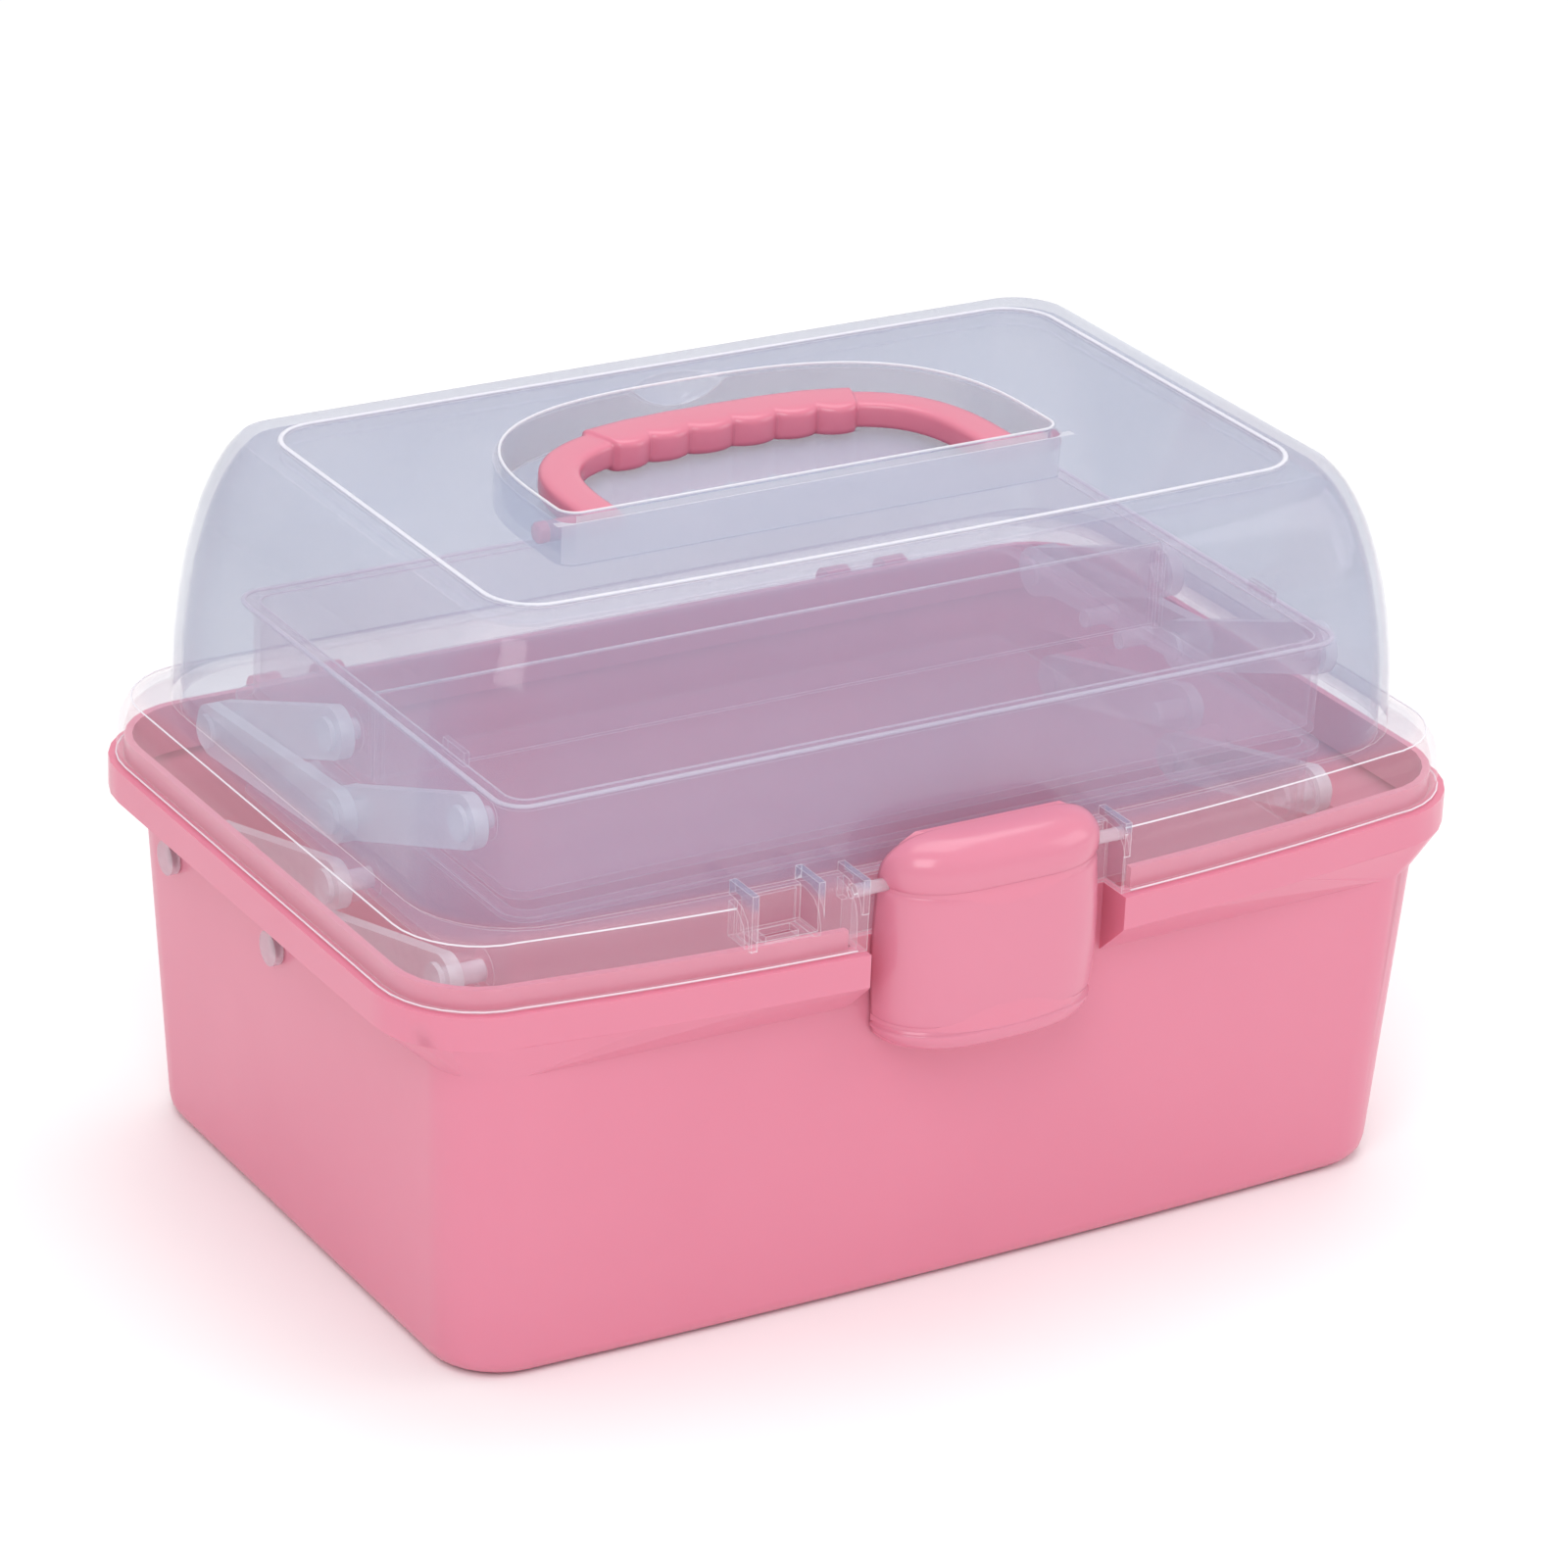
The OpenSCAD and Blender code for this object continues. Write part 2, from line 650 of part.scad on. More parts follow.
module latch() {
    pin = [-latch_pin_y, latch_pin_z];
    keeper_z = latch_low_z + keeper_rise;
    color(pink) difference() {
        union() {
            difference() {
                latch_block(0);
                translate([0, cut, 0]) intersection() {
                    latch_block(latch_wall);
                    block([-latch_half_w, -latch_y - latch_bulge, latch_low_z],
                        [latch_half_w, -latch_y + cut, latch_pin_z + 2]);
                }
                block([-latch_half_w + 5, -latch_y - 2, latch_low_z + latch_wall],
                    [latch_half_w - 5, -latch_y + cut, latch_pin_z - 7]);
                // Relief above the pin, so that the top can swing inward
                block([-latch_half_w - cut, -latch_y - latch_relief, latch_pin_z - cut],
                    [latch_half_w + cut, -latch_y + cut, latch_top_z + cut]);
            }
            // Barrel around the hinge pin, held in a rib across the latch
            rod(-latch_half_w + latch_wall, latch_half_w - latch_wall, pin, latch_pin_r * 2);
            block([-latch_half_w * 0.7, -latch_pin_y - 8, latch_pin_z - 1],
                [latch_half_w * 0.7, -latch_pin_y, latch_pin_z + 3]);
            // Hook below the tub's catch; its tip stops short by a gap, without the snap's grip
            block([-10, -latch_y - latch_bulge + 2, keeper_z - 2.6],
                [10, -notch_y - catch_reach - catch_gap, keeper_z - 0.6]);
        }
        rod(-latch_half_w - cut, latch_half_w + cut, pin, latch_pin_r + run_gap);
    }
}

module latch_pin() {
    reach = notch_half_w + lid_wall - 0.2;
    color(frosted) rod(-reach, reach, [-latch_pin_y, latch_pin_z], latch_pin_r);
}

// ---- Trays ----

module tray_outline(half_l, front, back, in) {
    polygon(outline(half_l - in, front - in, back - in, 0, tray_corner_r - in / 2));
}

// An open tray with a flat rim, its floor at low
module tray(half_l, front, back, low, h) {
    difference() {
        union() {
            translate([0, 0, low]) linear_extrude(h)
                tray_outline(half_l, front, back, tray_lip - tray_wall);
            translate([0, 0, low + h - tray_wall]) linear_extrude(tray_wall)
                tray_outline(half_l, front, back, 0);
        }
        translate([0, 0, low + tray_wall]) linear_extrude(h)
            tray_outline(half_l, front, back, tray_lip);
    }
}

module lower_tray() {
    wall_x = lower_half_l - tray_lip + tray_wall;
    color(clear) difference() {
        union() {
            tray(lower_half_l, lower_front, lower_back, lower_low_z, lower_h);
            for (s = [0, 1], p = lower_tray_pivots)
                on_side(s == 0) rod(wall_x - 0.2, lower_arm_x - face_gap, p, pin_r + 3);
        }
        for (s = [0, 1], p = lower_tray_pivots)
            on_side(s == 0) rod(wall_x + 0.4, lower_arm_x, p, pin_r + run_gap);
        for (s = [0, 1], p = stud_places)
            on_side(s == 0) rod(wall_x - tray_wall - cut, wall_x + tray_lip, p, stud_r + run_gap);
    }
}

module upper_tray() {
    wall_x = upper_half_l - tray_lip + tray_wall;
    rail = divider_t / 2 + seat_gap;
    color(clear) difference() {
        union() {
            tray(upper_half_l, upper_front, upper_back, upper_low_z, upper_h);
            for (s = [0, 1], p = upper_tray_pivots)
                on_side(s == 0) rod(wall_x - 0.2, upper_arm_x - 0.3, p, pin_r + 3);
            // Rails that hold the divider, and a thumb tab on each end rim
            for (s = [0, 1]) on_side(s == 0) {
                for (e = [-1, 1])
                    block([wall_x - tray_wall - 2.5, divider_y + e * (rail + 0.7) - 0.7, upper_low_z + 1],
                        [wall_x - 0.5, divider_y + e * (rail + 0.7) + 0.7, upper_low_z + upper_h - 3]);
                block([upper_half_l - tray_lip, -tab_y - tab_half_l, upper_low_z + upper_h - tray_wall],
                    [upper_half_l - tray_lip + tray_wall, -tab_y + tab_half_l,
                        upper_low_z + upper_h + 4]);
            }
        }
        for (s = [0, 1], p = upper_tray_pivots)
            on_side(s == 0) rod(wall_x - tray_wall + 0.8, upper_arm_x, p, pin_r + run_gap);
    }
}

module tray_divider() {
    reach = upper_half_l - tray_lip - seat_gap;
    color(clear)
        block([-reach, divider_y - divider_t / 2, upper_low_z + tray_wall + seat_gap],
            [reach, divider_y + divider_t / 2, upper_low_z + upper_h - 1]);
}

// ---- Arms and side bars ----

// A flat link with round ends, bored at both, its inner face at x
module link(x, from, to, r, t, bore_from, bore_to) {
    run = to - from;
    color(frosted) translate([x, 0, 0]) rotate([90, 0, 90]) linear_extrude(t) difference() {
        union() {
            translate(from) circle(r);
            translate(to) circle(r);
            translate(from) rotate(atan2(run[1], run[0])) translate([0, -r + link_waist])
                square([norm(run), 2 * (r - link_waist)]);
        }
        translate(from) circle(bore_from);
        translate(to) circle(bore_to);
    }
}

module lower_arm(i) {
    link(lower_arm_x, case_pivots[i], lower_tray_pivots[i], lower_arm_r, arm_t,
        pin_r + run_gap, pin_r + (i == 1 ? open_gap : run_gap));
}

module upper_arm(i) {
    link(upper_arm_x, bar_pivots[i], upper_tray_pivots[i], upper_arm_r, arm_t,
        pin_r + run_gap, pin_r + (i == 1 ? open_gap : run_gap));
}

// Studs that hold a side bar to the lower tray's end wall
stud_r = 2.6;
stud_z = lower_low_z + lower_h - tray_wall - stud_r - 1.4;
stud_places = [for (f = [0.26, 0.5]) [bar_pivot_y + f * bar_pivot_gap, stud_z]];
module side_bar() {
    inner = lower_half_l - tray_lip;
    link(bar_x, bar_pivots[0], bar_pivots[1], bar_r, bar_t, pin_r + run_gap, pin_r + run_gap);
    color(frosted) for (p = stud_places) rod(inner, bar_x + cut, p, stud_r);
}

// ---- Pins ----

// A pin along X with a head at its outer end
module headed_pin(inner, outer, at, head_r, head_t) {
    color(frosted) {
        rod(inner, outer + head_t / 2, at, pin_r);
        rod(outer, outer + head_t, at, head_r);
    }
}

module case_pins() {
    for (p = case_pivots) {
        headed_pin(lower_arm_x - 0.3 - arm_head_t, case_pivot_half_l + 0.4, p, case_head_r, 2.4);
        color(frosted) rod(lower_arm_x - 0.3 - arm_head_t, lower_arm_x - 0.3, p, arm_head_r);
    }
}

module lower_tray_pins() {
    wall_x = lower_half_l - tray_lip + tray_wall;
    for (p = lower_tray_pivots)
        headed_pin(wall_x + 0.6, lower_arm_x + arm_t + 0.3, p, arm_head_r, arm_head_t);
}

module bar_pins() {
    for (p = bar_pivots) {
        headed_pin(upper_arm_x - 0.3 - arm_head_t, bar_x + bar_t + 0.1, p, arm_head_r, arm_head_t);
        color(frosted) rod(upper_arm_x - 0.3 - arm_head_t, upper_arm_x - 0.3, p, pin_r + 1.2);
    }
}

module upper_tray_pins() {
    wall_x = upper_half_l - tray_lip + tray_wall;
    for (p = upper_tray_pivots)
        headed_pin(wall_x - tray_wall + 1, upper_arm_x + arm_t + 0.3, p, arm_head_r, arm_head_t);
}

case_body();
lid_shell();
on_side(true) hinge_pin();  // hinge_pin_left
on_side(false) hinge_pin();  // hinge_pin_right
handle();
latch();
latch_pin();
lower_tray();
upper_tray();
tray_divider();
on_side(true) side_bar();  // side_bar_left
on_side(false) side_bar();  // side_bar_right
on_side(true) lower_arm(0);  // lower_arm_front_left
on_side(false) lower_arm(0);  // lower_arm_front_right
on_side(true) lower_arm(1);  // lower_arm_rear_left
on_side(false) lower_arm(1);  // lower_arm_rear_right
on_side(true) upper_arm(0);  // upper_arm_front_left
on_side(false) upper_arm(0);  // upper_arm_front_right
on_side(true) upper_arm(1);  // upper_arm_rear_left
on_side(false) upper_arm(1);  // upper_arm_rear_right
on_side(true) case_pins();  // case_pins_left
on_side(false) case_pins();  // case_pins_right
on_side(true) lower_tray_pins();  // lower_tray_pins_left
on_side(false) lower_tray_pins();  // lower_tray_pins_right
on_side(true) bar_pins();  // bar_pins_left
on_side(false) bar_pins();  // bar_pins_right
on_side(true) upper_tray_pins();  // upper_tray_pins_left
on_side(false) upper_tray_pins();  // upper_tray_pins_right
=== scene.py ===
import logging
import math
from dataclasses import dataclass, field
from enum import Enum
from typing import Any, Callable

import bmesh
import bpy
from mathutils import Matrix, Vector


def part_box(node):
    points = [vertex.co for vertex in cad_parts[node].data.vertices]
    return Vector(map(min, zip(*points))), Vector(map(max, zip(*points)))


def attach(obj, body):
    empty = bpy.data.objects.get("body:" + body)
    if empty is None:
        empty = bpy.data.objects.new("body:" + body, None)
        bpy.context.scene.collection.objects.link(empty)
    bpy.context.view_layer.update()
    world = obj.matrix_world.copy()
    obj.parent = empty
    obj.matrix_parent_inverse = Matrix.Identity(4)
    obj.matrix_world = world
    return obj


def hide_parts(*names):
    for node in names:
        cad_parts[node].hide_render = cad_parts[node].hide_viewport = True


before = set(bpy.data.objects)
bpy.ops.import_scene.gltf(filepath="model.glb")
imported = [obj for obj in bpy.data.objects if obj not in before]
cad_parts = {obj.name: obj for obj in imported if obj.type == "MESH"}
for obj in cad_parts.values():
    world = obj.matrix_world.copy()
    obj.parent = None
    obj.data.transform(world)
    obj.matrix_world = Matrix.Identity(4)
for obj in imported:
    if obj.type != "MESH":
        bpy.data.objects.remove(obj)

LOG = logging.getLogger("makeup_case")
MM = 0.001
PER_METRE = 1000
PP_IOR = 1.49
Flat = tuple[float, float]
Vec = tuple[float, float, float]
Mesh = tuple[list[Vec], list[tuple[int, ...]]]


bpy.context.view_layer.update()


class Body(Enum):
    """Moving groups of the case that pieces can ride on."""

    LID = "lid"
    HANDLE = "handle"
    LATCH = "latch"
    UPPER_TRAY = "upper_tray"


def linear(hex_colour: str, alpha: float = 1.0) -> tuple[float, float, float, float]:
    """Turns an sRGB hex colour into linear light.

    Args:
        hex_colour: Colour such as "EB8AA0".
        alpha: Fourth value of the result.

    Returns:
        Linear red, green, blue and alpha.
    """
    values = [int(hex_colour[i:i + 2], 16) / 255 for i in (0, 2, 4)]
    red, green, blue = (v / 12.92 if v <= 0.04045 else ((v + 0.055) / 1.055) ** 2.4 for v in values)
    return (red, green, blue, alpha)


def add_node(tree: bpy.types.NodeTree, kind: str, settings: dict[str, Any] | None = None,
             inputs: dict[str, Any] | None = None) -> bpy.types.Node:
    """Adds one node with its settings, constant inputs and links.

    Args:
        tree: Node tree that takes the node.
        kind: Blender's identifier of the node type.
        settings: Properties of the node itself.
        inputs: Values or output sockets for the node's inputs, by socket name.

    Returns:
        The new node.
    """
    node = tree.nodes.new(kind)
    for name, value in (settings or {}).items():
        setattr(node, name, value)
    for name, value in (inputs or {}).items():
        if isinstance(value, bpy.types.NodeSocket):
            tree.links.new(value, node.inputs[name])
        else:
            node.inputs[name].default_value = value
    return node


def new_tree(name: str) -> tuple[bpy.types.Material, bpy.types.NodeTree]:
    """Makes an empty node material.

    Args:
        name: Name of the material.

    Returns:
        The material and its cleared node tree.
    """
    material = bpy.data.materials.new(name)
    material.use_nodes = True
    material.node_tree.nodes.clear()
    return material, material.node_tree


def multiply(tree: bpy.types.NodeTree, first: bpy.types.NodeSocket,
             second: bpy.types.NodeSocket) -> bpy.types.NodeSocket:
    """Multiplies two values.

    Args:
        tree: Node tree that takes the node.
        first: One value.
        second: The other value.

    Returns:
        Their product, kept between 0 and 1.
    """
    node = add_node(tree, "ShaderNodeMath", {"operation": "MULTIPLY", "use_clamp": True})
    tree.links.new(first, node.inputs[0])
    tree.links.new(second, node.inputs[1])
    return node.outputs["Value"]


def less_in_shadow(tree: bpy.types.NodeTree, cover: bpy.types.NodeSocket,
                   share: float) -> bpy.types.NodeSocket:
    """Lowers a wall's cover in its own shadow, because haze passes most light on.

    Args:
        tree: Node tree that takes the nodes.
        cover: The wall's cover as it is seen.
        share: How much of it counts for its shadow.

    Returns:
        The cover to use.
    """
    ray = add_node(tree, "ShaderNodeLightPath")
    shadow = add_node(tree, "ShaderNodeMapRange", None,
                      {"Value": ray.outputs["Is Shadow Ray"], "To Min": 1.0, "To Max": share})
    return multiply(tree, cover, shadow.outputs["Result"])


def mix_colour(tree: bpy.types.NodeTree, share: bpy.types.NodeSocket, first: Any,
               second: Any) -> bpy.types.NodeSocket:
    """Mixes two colours.

    Args:
        tree: Node tree that takes the node.
        share: Share of the second colour.
        first: Colour, or the socket that gives it.
        second: Colour, or the socket that gives it.

    Returns:
        The mixed colour.
    """
    node = add_node(tree, "ShaderNodeMix", {"data_type": "RGBA"}, {"Factor": share})
    for socket, value in ((node.inputs[6], first), (node.inputs[7], second)):
        if isinstance(value, bpy.types.NodeSocket):
            tree.links.new(value, socket)
        else:
            socket.default_value = value
    return node.outputs[2]


def mix_value(tree: bpy.types.NodeTree, share: bpy.types.NodeSocket,
              first: bpy.types.NodeSocket, second: float) -> bpy.types.NodeSocket:
    """Mixes a value with a constant.

    Args:
        tree: Node tree that takes the node.
        share: Share of the constant.
        first: The value.
        second: The constant.

    Returns:
        The mixed value.
    """
    node = add_node(tree, "ShaderNodeMix", {"data_type": "FLOAT"}, {"Factor": share})
    tree.links.new(first, node.inputs[2])
    node.inputs[3].default_value = second
    return node.outputs[0]


def box_mask(tree: bpy.types.NodeTree, place: bpy.types.Node, low: Vec,
             high: Vec) -> bpy.types.NodeSocket:
    """Finds what lies in a box.

    Args:
        tree: Node tree that takes the nodes.
        place: Node that gives X, Y and Z.
        low: The box's lowest corner, in mm.
        high: The box's highest corner, in mm.

    Returns:
        1 in the box, 0 outside.
    """
    mask = None
    for axis, below, above in zip("XYZ", low, high):
        near = add_node(tree, "ShaderNodeMath", {"operation": "COMPARE"})
        tree.links.new(place.outputs[axis], near.inputs[0])
        near.inputs[1].default_value = (below + above) / 2 * MM
        near.inputs[2].default_value = (above - below) / 2 * MM
        mask = multiply(tree, mask, near.outputs["Value"]) if mask else near.outputs["Value"]
    return mask


def edge_highlight_mask(tree: bpy.types.NodeTree, width_mm: float) -> bpy.types.NodeSocket:
    """Finds the real edges of a moulded piece.

    Args:
        tree: Node tree that takes the nodes.
        width_mm: How far from the edge the mask reaches.

    Returns:
        1 on an edge, 0 on an open wall.
    """
    # The mask marks the edges where the white highlight is painted.
    rounded = add_node(tree, "ShaderNodeBevel", {"samples": 4}, {"Radius": width_mm * MM})
    true = add_node(tree, "ShaderNodeNewGeometry")
    same = add_node(tree, "ShaderNodeVectorMath", {"operation": "DOT_PRODUCT"})
    tree.links.new(rounded.outputs["Normal"], same.inputs[0])
    tree.links.new(true.outputs["Normal"], same.inputs[1])
    mask = add_node(tree, "ShaderNodeMapRange", None,
                    {"Value": same.outputs["Value"], "From Min": 0.97, "From Max": 0.80})
    return mask.outputs["Result"]


@dataclass(frozen=True)
class MouldedPolypropylene:
    """Opaque pigmented polypropylene, injection moulded in a polished steel mould.

    The pigment swirls a little where the melt flowed, and the skin is a satin gloss with a
    faint orange peel, so highlights are soft at their edges.
    """

    name: str
    colour: str
    flow_colour: str
    roughness: float = 0.30
    flow_mm: float = 55.0
    peel_mm: float = 1.6

    def material(self) -> bpy.types.Material:
        """Builds the material.

        Returns:
            The finished material.
        """
        material, tree = new_tree(self.name)
        place = add_node(tree, "ShaderNodeTexCoord").outputs["Object"]
        flow = add_node(tree, "ShaderNodeTexNoise", None,
                        {"Vector": place, "Scale": PER_METRE / self.flow_mm, "Detail": 2.0,
                         "Distortion": 0.6})
        tint = mix_colour(tree, flow.outputs["Fac"], linear(self.colour), linear(self.flow_colour))
        rough = add_node(tree, "ShaderNodeMapRange", None,
                         {"Value": flow.outputs["Fac"], "To Min": self.roughness - 0.04,
                          "To Max": self.roughness + 0.05})
        peel = add_node(tree, "ShaderNodeTexNoise", None,
                        {"Vector": place, "Scale": PER_METRE / self.peel_mm, "Detail": 2.0})
        bump = add_node(tree, "ShaderNodeBump", None,
                        {"Height": peel.outputs["Fac"], "Strength": 0.05, "Distance": 0.0001})
        skin = add_node(tree, "ShaderNodeBsdfPrincipled", None,
                        {"Base Color": tint, "Roughness": rough.outputs["Result"],
                         "IOR": PP_IOR, "Subsurface Weight": 0.12,
                         "Subsurface Radius": (0.004, 0.0016, 0.0014), "Subsurface Scale": 1.0,
                         "Normal": bump.outputs["Normal"]})
        add_node(tree, "ShaderNodeOutputMaterial", None, {"Surface": skin.outputs["BSDF"]})
        return material


@dataclass(frozen=True)
class ClarifiedPolypropylene:
    """Clarified polypropylene wall, injection moulded: see-through with a blue-grey milky haze.

    Seen straight on it lets most of the light through. Towards its edges it turns denser, along its
    real edges white lines are a painted highlight, and its glossy skin mirrors the surroundings.
    The haze scatters light onward, so the wall casts hardly a shadow. Below clear_below_mm the
    wall is thinner and clearer.
    """

    name: str
    colour: str
    haze: float
    edge_haze: float
    roughness: float = 0.10
    cloud_mm: float = 40.0
    # White of the painted edge highlights; the band on the handle well's front wall takes it too.
    edge_colour: str = "F4F2F6"
    edge_mm: float = 0.55
    edge_cover: float = 0.62
    clear_below_mm: float = 0.0
    clear_colour: str = "E3C9D6"
    clear_share: float = 1.0
    shadow_share: float = 0.04
    # A box, in mm, where the wall is drawn whiter and denser.
    milky: tuple[Vec, Vec] | None = None

    def material(self) -> bpy.types.Material:
        """Builds the material.

        Returns:
            The finished material.
        """
        material, tree = new_tree(self.name)
        place = add_node(tree, "ShaderNodeTexCoord").outputs["Object"]
        cloud = add_node(tree, "ShaderNodeTexNoise", None,
                         {"Vector": place, "Scale": PER_METRE / self.cloud_mm, "Detail": 1.5})
        tilt = add_node(tree, "ShaderNodeLayerWeight", None, {"Blend": 0.35})
        cover = add_node(tree, "ShaderNodeMapRange", None,
                         {"Value": tilt.outputs["Facing"], "To Min": self.haze,
                          "To Max": self.edge_haze})
        height = add_node(tree, "ShaderNodeSeparateXYZ", None, {"Vector": place})
        upper = add_node(tree, "ShaderNodeMapRange", None,
                         {"Value": height.outputs["Z"],
                          "From Min": (self.clear_below_mm - 1.0) * MM,
                          "From Max": (self.clear_below_mm + 1.0) * MM})
        share = add_node(tree, "ShaderNodeMapRange", None,
                         {"Value": upper.outputs["Result"], "To Min": self.clear_share,
                          "To Max": 1.0})
        uneven = add_node(tree, "ShaderNodeMapRange", None,
                          {"Value": cloud.outputs["Fac"], "To Min": 0.86, "To Max": 1.14})
        wall = multiply(tree, multiply(tree, cover.outputs["Result"], share.outputs["Result"]),
                        uneven.outputs["Result"])
        body = mix_colour(tree, upper.outputs["Result"], linear(self.clear_colour),
                          linear(self.colour))
        # Painted highlight: white lines along the real edges, where they catch the light.
        edge = edge_highlight_mask(tree, self.edge_mm)
        # The mask thick marks only a box on the handle well's front wall, drawn whiter and denser
        # with the edge lines' white.
        if self.milky:
            thick = box_mask(tree, height, *self.milky)
            body = mix_colour(tree, thick, body, linear(self.edge_colour))
            wall = mix_value(tree, thick, wall, self.edge_cover)
        tint = mix_colour(tree, edge, body, linear(self.edge_colour))
        opacity = add_node(tree, "ShaderNodeMath", {"operation": "MAXIMUM", "use_clamp": True})
        tree.links.new(wall, opacity.inputs[0])
        line = add_node(tree, "ShaderNodeMapRange", None,
                        {"Value": edge, "To Max": self.edge_cover})
        tree.links.new(line.outputs["Result"], opacity.inputs[1])
        seen = less_in_shadow(tree, opacity.outputs["Value"], self.shadow_share)
        ripple = add_node(tree, "ShaderNodeBump", None,
                          {"Height": cloud.outputs["Fac"], "Strength": 0.06, "Distance": 0.001})
        skin = add_node(tree, "ShaderNodeBsdfPrincipled", None,
                        {"Base Color": tint, "Roughness": self.roughness,
                         "IOR": PP_IOR, "Coat Weight": 1.0, "Coat Roughness": 0.05,
                         "Coat IOR": 1.5, "Alpha": seen,
                         "Normal": ripple.outputs["Normal"]})
        add_node(tree, "ShaderNodeOutputMaterial", None, {"Surface": skin.outputs["BSDF"]})
        return material


# Frosted white for the real frosted pieces; the same white paints the highlight on the lines laid
# along the clear mouldings' beads and edges.
@dataclass(frozen=True)
class NaturalPolypropylene:
    """Unpigmented polypropylene, injection moulded thick: frosted white with soft depth."""

    name: str
    colour: str = "EEF1F4"
    cover: float = 0.72
    grain_mm: float = 3.0
    shadow_share: float = 0.4

    def material(self) -> bpy.types.Material:
        """Builds the material.

        Returns:
            The finished material.
        """
        material, tree = new_tree(self.name)
        place = add_node(tree, "ShaderNodeTexCoord").outputs["Object"]
        grain = add_node(tree, "ShaderNodeTexNoise", None,
                         {"Vector": place, "Scale": PER_METRE / self.grain_mm, "Detail": 2.0})
        opacity = add_node(tree, "ShaderNodeMapRange", None,
                           {"Value": grain.outputs["Fac"], "To Min": self.cover - 0.05,
                            "To Max": self.cover + 0.05})
        seen = less_in_shadow(tree, opacity.outputs["Result"], self.shadow_share)
        bump = add_node(tree, "ShaderNodeBump", None,
                        {"Height": grain.outputs["Fac"], "Strength": 0.1, "Distance": 0.0002})
        skin = add_node(tree, "ShaderNodeBsdfPrincipled", None,
                        {"Base Color": linear(self.colour), "Roughness": 0.38, "IOR": PP_IOR,
                         "Alpha": seen, "Normal": bump.outputs["Normal"]})
        add_node(tree, "ShaderNodeOutputMaterial", None, {"Surface": skin.outputs["BSDF"]})
        return material


@dataclass(frozen=True)
class PaintedBoard:
    """White matt painted board of the studio's sweep."""

    name: str = "painted_board"
    colour: str = "FDFDFD"

    def material(self) -> bpy.types.Material:
        """Builds the material.

        Returns:
            The finished material.
        """
        material, tree = new_tree(self.name)
        place = add_node(tree, "ShaderNodeTexCoord").outputs["Object"]
        roll = add_node(tree, "ShaderNodeTexNoise", None, {"Vector": place, "Scale": 400.0})
        bump = add_node(tree, "ShaderNodeBump", None,
                        {"Height": roll.outputs["Fac"], "Strength": 0.02, "Distance": 0.0002})
        skin = add_node(tree, "ShaderNodeBsdfPrincipled", None,
                        {"Base Color": linear(self.colour), "Roughness": 0.85,
                         "Normal": bump.outputs["Normal"]})
        add_node(tree, "ShaderNodeOutputMaterial", None, {"Surface": skin.outputs["BSDF"]})
        return material


def arc(centre: Flat, radius: float, start_deg: float, steps: int = 8) -> list[Flat]:
    """A quarter circle, anticlockwise.

    Args:
        centre: Its centre, in mm.
        radius: Its radius, in mm.
        start_deg: Direction of its first point from the centre.
        steps: Number of stretches.

    Returns:
        Its points, in mm.
    """
    turns = (math.radians(start_deg + 90 * i / steps) for i in range(steps + 1))
    return [(centre[0] + radius * math.cos(t), centre[1] + radius * math.sin(t)) for t in turns]


def outline(half_l: float, front: float, back: float, bow: float, radius: float,
            steps: int = 48) -> list[Flat]:
    """A rounded rectangle with a bowed front, seen from above, anticlockwise.

    Args:
        half_l: Half its length, in mm.
        front: Depth from the middle to its front corners.
        back: Depth from the middle to its back.
        bow: How far the front bows out between its corners.
        radius: Rounding of its corners.
        steps: Number of stretches along the front.

    Returns:
        Its points, in mm, from the front's left end on.
    """
    reach = half_l - radius
    line = [(reach * share, -front - bow * (1 - share ** 2))
            for share in (2 * i / steps - 1 for i in range(1, steps))]
    return (line + arc((reach, -front + radius), radius, 270)
            + arc((reach, back - radius), radius, 0)
            + arc((-reach, back - radius), radius, 90)
            + arc((-reach, -front + radius), radius, 180))


def power(value: float, exponent: float) -> float:
    """Raises the size of a value to a power and keeps its sign."""
    return math.copysign(abs(value) ** exponent, value)


def oval(half_w: float, half_h: float, exponent: float = 2.0, sides: int = 8) -> list[Flat]:
    """A superellipse around the origin.

    Args:
        half_w: Half its width, in mm.
        half_h: Half its height, in mm.
        exponent: 2 is an ellipse, more is squarer.
        sides: Number of points.

    Returns:
        Its points, in mm.
    """
    turns = (2 * math.pi * i / sides for i in range(sides))
    return [(half_w * power(math.cos(t), 2 / exponent), half_h * power(math.sin(t), 2 / exponent))
            for t in turns]


def sweep(path: list[Vec], section: Callable[[int], list[Flat]], closed: bool) -> Mesh:
    """Sweeps a section along a level path.

    Args:
        path: Points of the path, in mm.
        section: Gives the section at a path point; x is to the right of travel, y is up.
        closed: Whether the path's end meets its start.

    Returns:
        The mesh's points, in mm, and its faces.
    """
    count = len(path)
    points: list[Vec] = []
    for i, (x, y, z) in enumerate(path):
        before = path[i - 1] if closed or i else path[0]
        after = path[(i + 1) % count] if closed or i < count - 1 else path[-1]
        along = Vector((after[0] - before[0], after[1] - before[1])).normalized()
        points += [(x + a * along.y, y - a * along.x, z + b) for a, b in section(i)]
    sides = len(section(0))
    rings = count if closed else count - 1
    faces: list[tuple[int, ...]] = []
    for i in range(rings):
        here, there = i * sides, (i + 1) % count * sides
        faces += [(here + k, here + (k + 1) % sides, there + (k + 1) % sides, there + k)
                  for k in range(sides)]
    if not closed:
        faces += [tuple(range(sides))[::-1], tuple(range((count - 1) * sides, count * sides))]
    return points, faces


